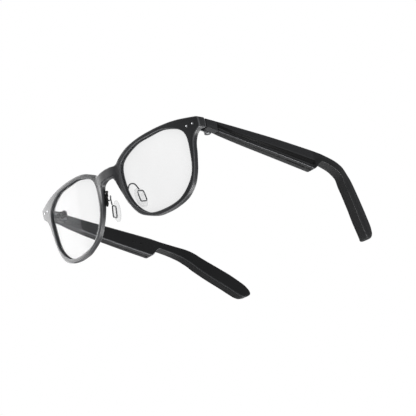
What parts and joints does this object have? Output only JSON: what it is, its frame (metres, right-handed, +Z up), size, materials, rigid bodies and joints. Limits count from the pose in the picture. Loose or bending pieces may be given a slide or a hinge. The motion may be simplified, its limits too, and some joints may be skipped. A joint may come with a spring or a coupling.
{
  "type": "smart glasses",
  "caption": "Full-rim audio smart glasses with clear lenses, wire-mounted silicone nose pads and hollow folding temples that hold speaker, circuit board and battery.",
  "frame": {"origin": "middle of the object's box in plan, on the surface that the open glasses stand on (rim bottoms and temple tips)", "axes": "+X across the face to the wearer's left, the front faces -Y and the temples run along +Y, +Z up"},
  "size_m": [0.154, 0.1748, 0.0496],
  "materials": {
    "frame_graphite": "satin charcoal-grey moulded plastic with polished edges",
    "lens_clear": "clear lens with a faint grey coating reflection",
    "polished_steel": "polished stainless steel",
    "black_steel": "black coated steel",
    "clear_silicone": "clear soft silicone",
    "dark_steel": "dark brushed steel",
    "sleeve_grey": "fine satin grey plastic",
    "temple_charcoal": "fine matte black plastic with a soft sheen",
    "board_green": "green solder mask",
    "amber_film": "amber polyimide film",
    "speaker_black": "black moulded driver case",
    "black_mesh": "black woven metal mesh",
    "cell_silver": "silver foil pouch",
    "contact_nickel": "black nickel plate"
  },
  "bodies": {
    "front": {"front_frame": "frame_graphite", "lens_left": "lens_clear", "pad_bracket_left": "black_steel", "pad_wire_left": "polished_steel", "hinge_front_leaf_left": "dark_steel", "hinge_screw_left": "polished_steel", "leaf_screw_left": "polished_steel", "lens_right": "lens_clear", "pad_bracket_right": "black_steel", "pad_wire_right": "polished_steel", "hinge_front_leaf_right": "dark_steel", "hinge_screw_right": "polished_steel", "leaf_screw_right": "polished_steel", "rivet_left_inner": "polished_steel", "rivet_left_outer": "polished_steel", "rivet_right_inner": "polished_steel", "rivet_right_outer": "polished_steel"},
    "nose_pad_unit_left": {"pad_cage_left": "polished_steel", "nose_pad_left": "clear_silicone"},
    "temple_left": {"hinge_temple_leaf_left": "dark_steel", "connector_sleeve_left": "sleeve_grey", "outer_shell_left": "temple_charcoal", "inner_cover_left": "temple_charcoal", "circuit_board_left": "board_green", "touch_film_left": "amber_film", "speaker_left": "speaker_black", "speaker_mesh_left": "black_mesh", "flex_cable_left": "amber_film", "battery_left": "cell_silver", "microphone_left_front": "black_mesh", "microphone_left_rear": "black_mesh", "charging_contact_left_front": "contact_nickel", "charging_contact_left_rear": "contact_nickel"},
    "nose_pad_unit_right": {"pad_cage_right": "polished_steel", "nose_pad_right": "clear_silicone"},
    "temple_right": {"hinge_temple_leaf_right": "dark_steel", "connector_sleeve_right": "sleeve_grey", "outer_shell_right": "temple_charcoal", "inner_cover_right": "temple_charcoal", "circuit_board_right": "board_green", "touch_film_right": "amber_film", "speaker_right": "speaker_black", "speaker_mesh_right": "black_mesh", "flex_cable_right": "amber_film", "battery_right": "cell_silver", "microphone_right_front": "black_mesh", "microphone_right_rear": "black_mesh", "charging_contact_right_front": "contact_nickel", "charging_contact_right_rear": "contact_nickel"}
  },
  "joints": [
    {"name": "temple_fold_left", "type": "hinge", "parent": "front", "child": "temple_left", "pos_m": [0.065, -0.06608, 0.0421], "axis": [0, 0, 1], "range_deg": [0, 91]},
    {"name": "temple_fold_right", "type": "hinge", "parent": "front", "child": "temple_right", "pos_m": [-0.065, -0.06608, 0.0421], "axis": [0, 0, -1], "range_deg": [0, 76]},
    {"name": "nose_pad_rock_left", "type": "hinge", "parent": "front", "child": "nose_pad_unit_left", "pos_m": [0.01245, -0.07268, 0.02201], "axis": [-0.275, -0.9492, -0.1528], "range_deg": [-6, 6]},
    {"name": "nose_pad_rock_right", "type": "hinge", "parent": "front", "child": "nose_pad_unit_right", "pos_m": [-0.01245, -0.07268, 0.02201], "axis": [0.275, -0.9492, -0.1528], "range_deg": [-6, 6]}
  ]
}
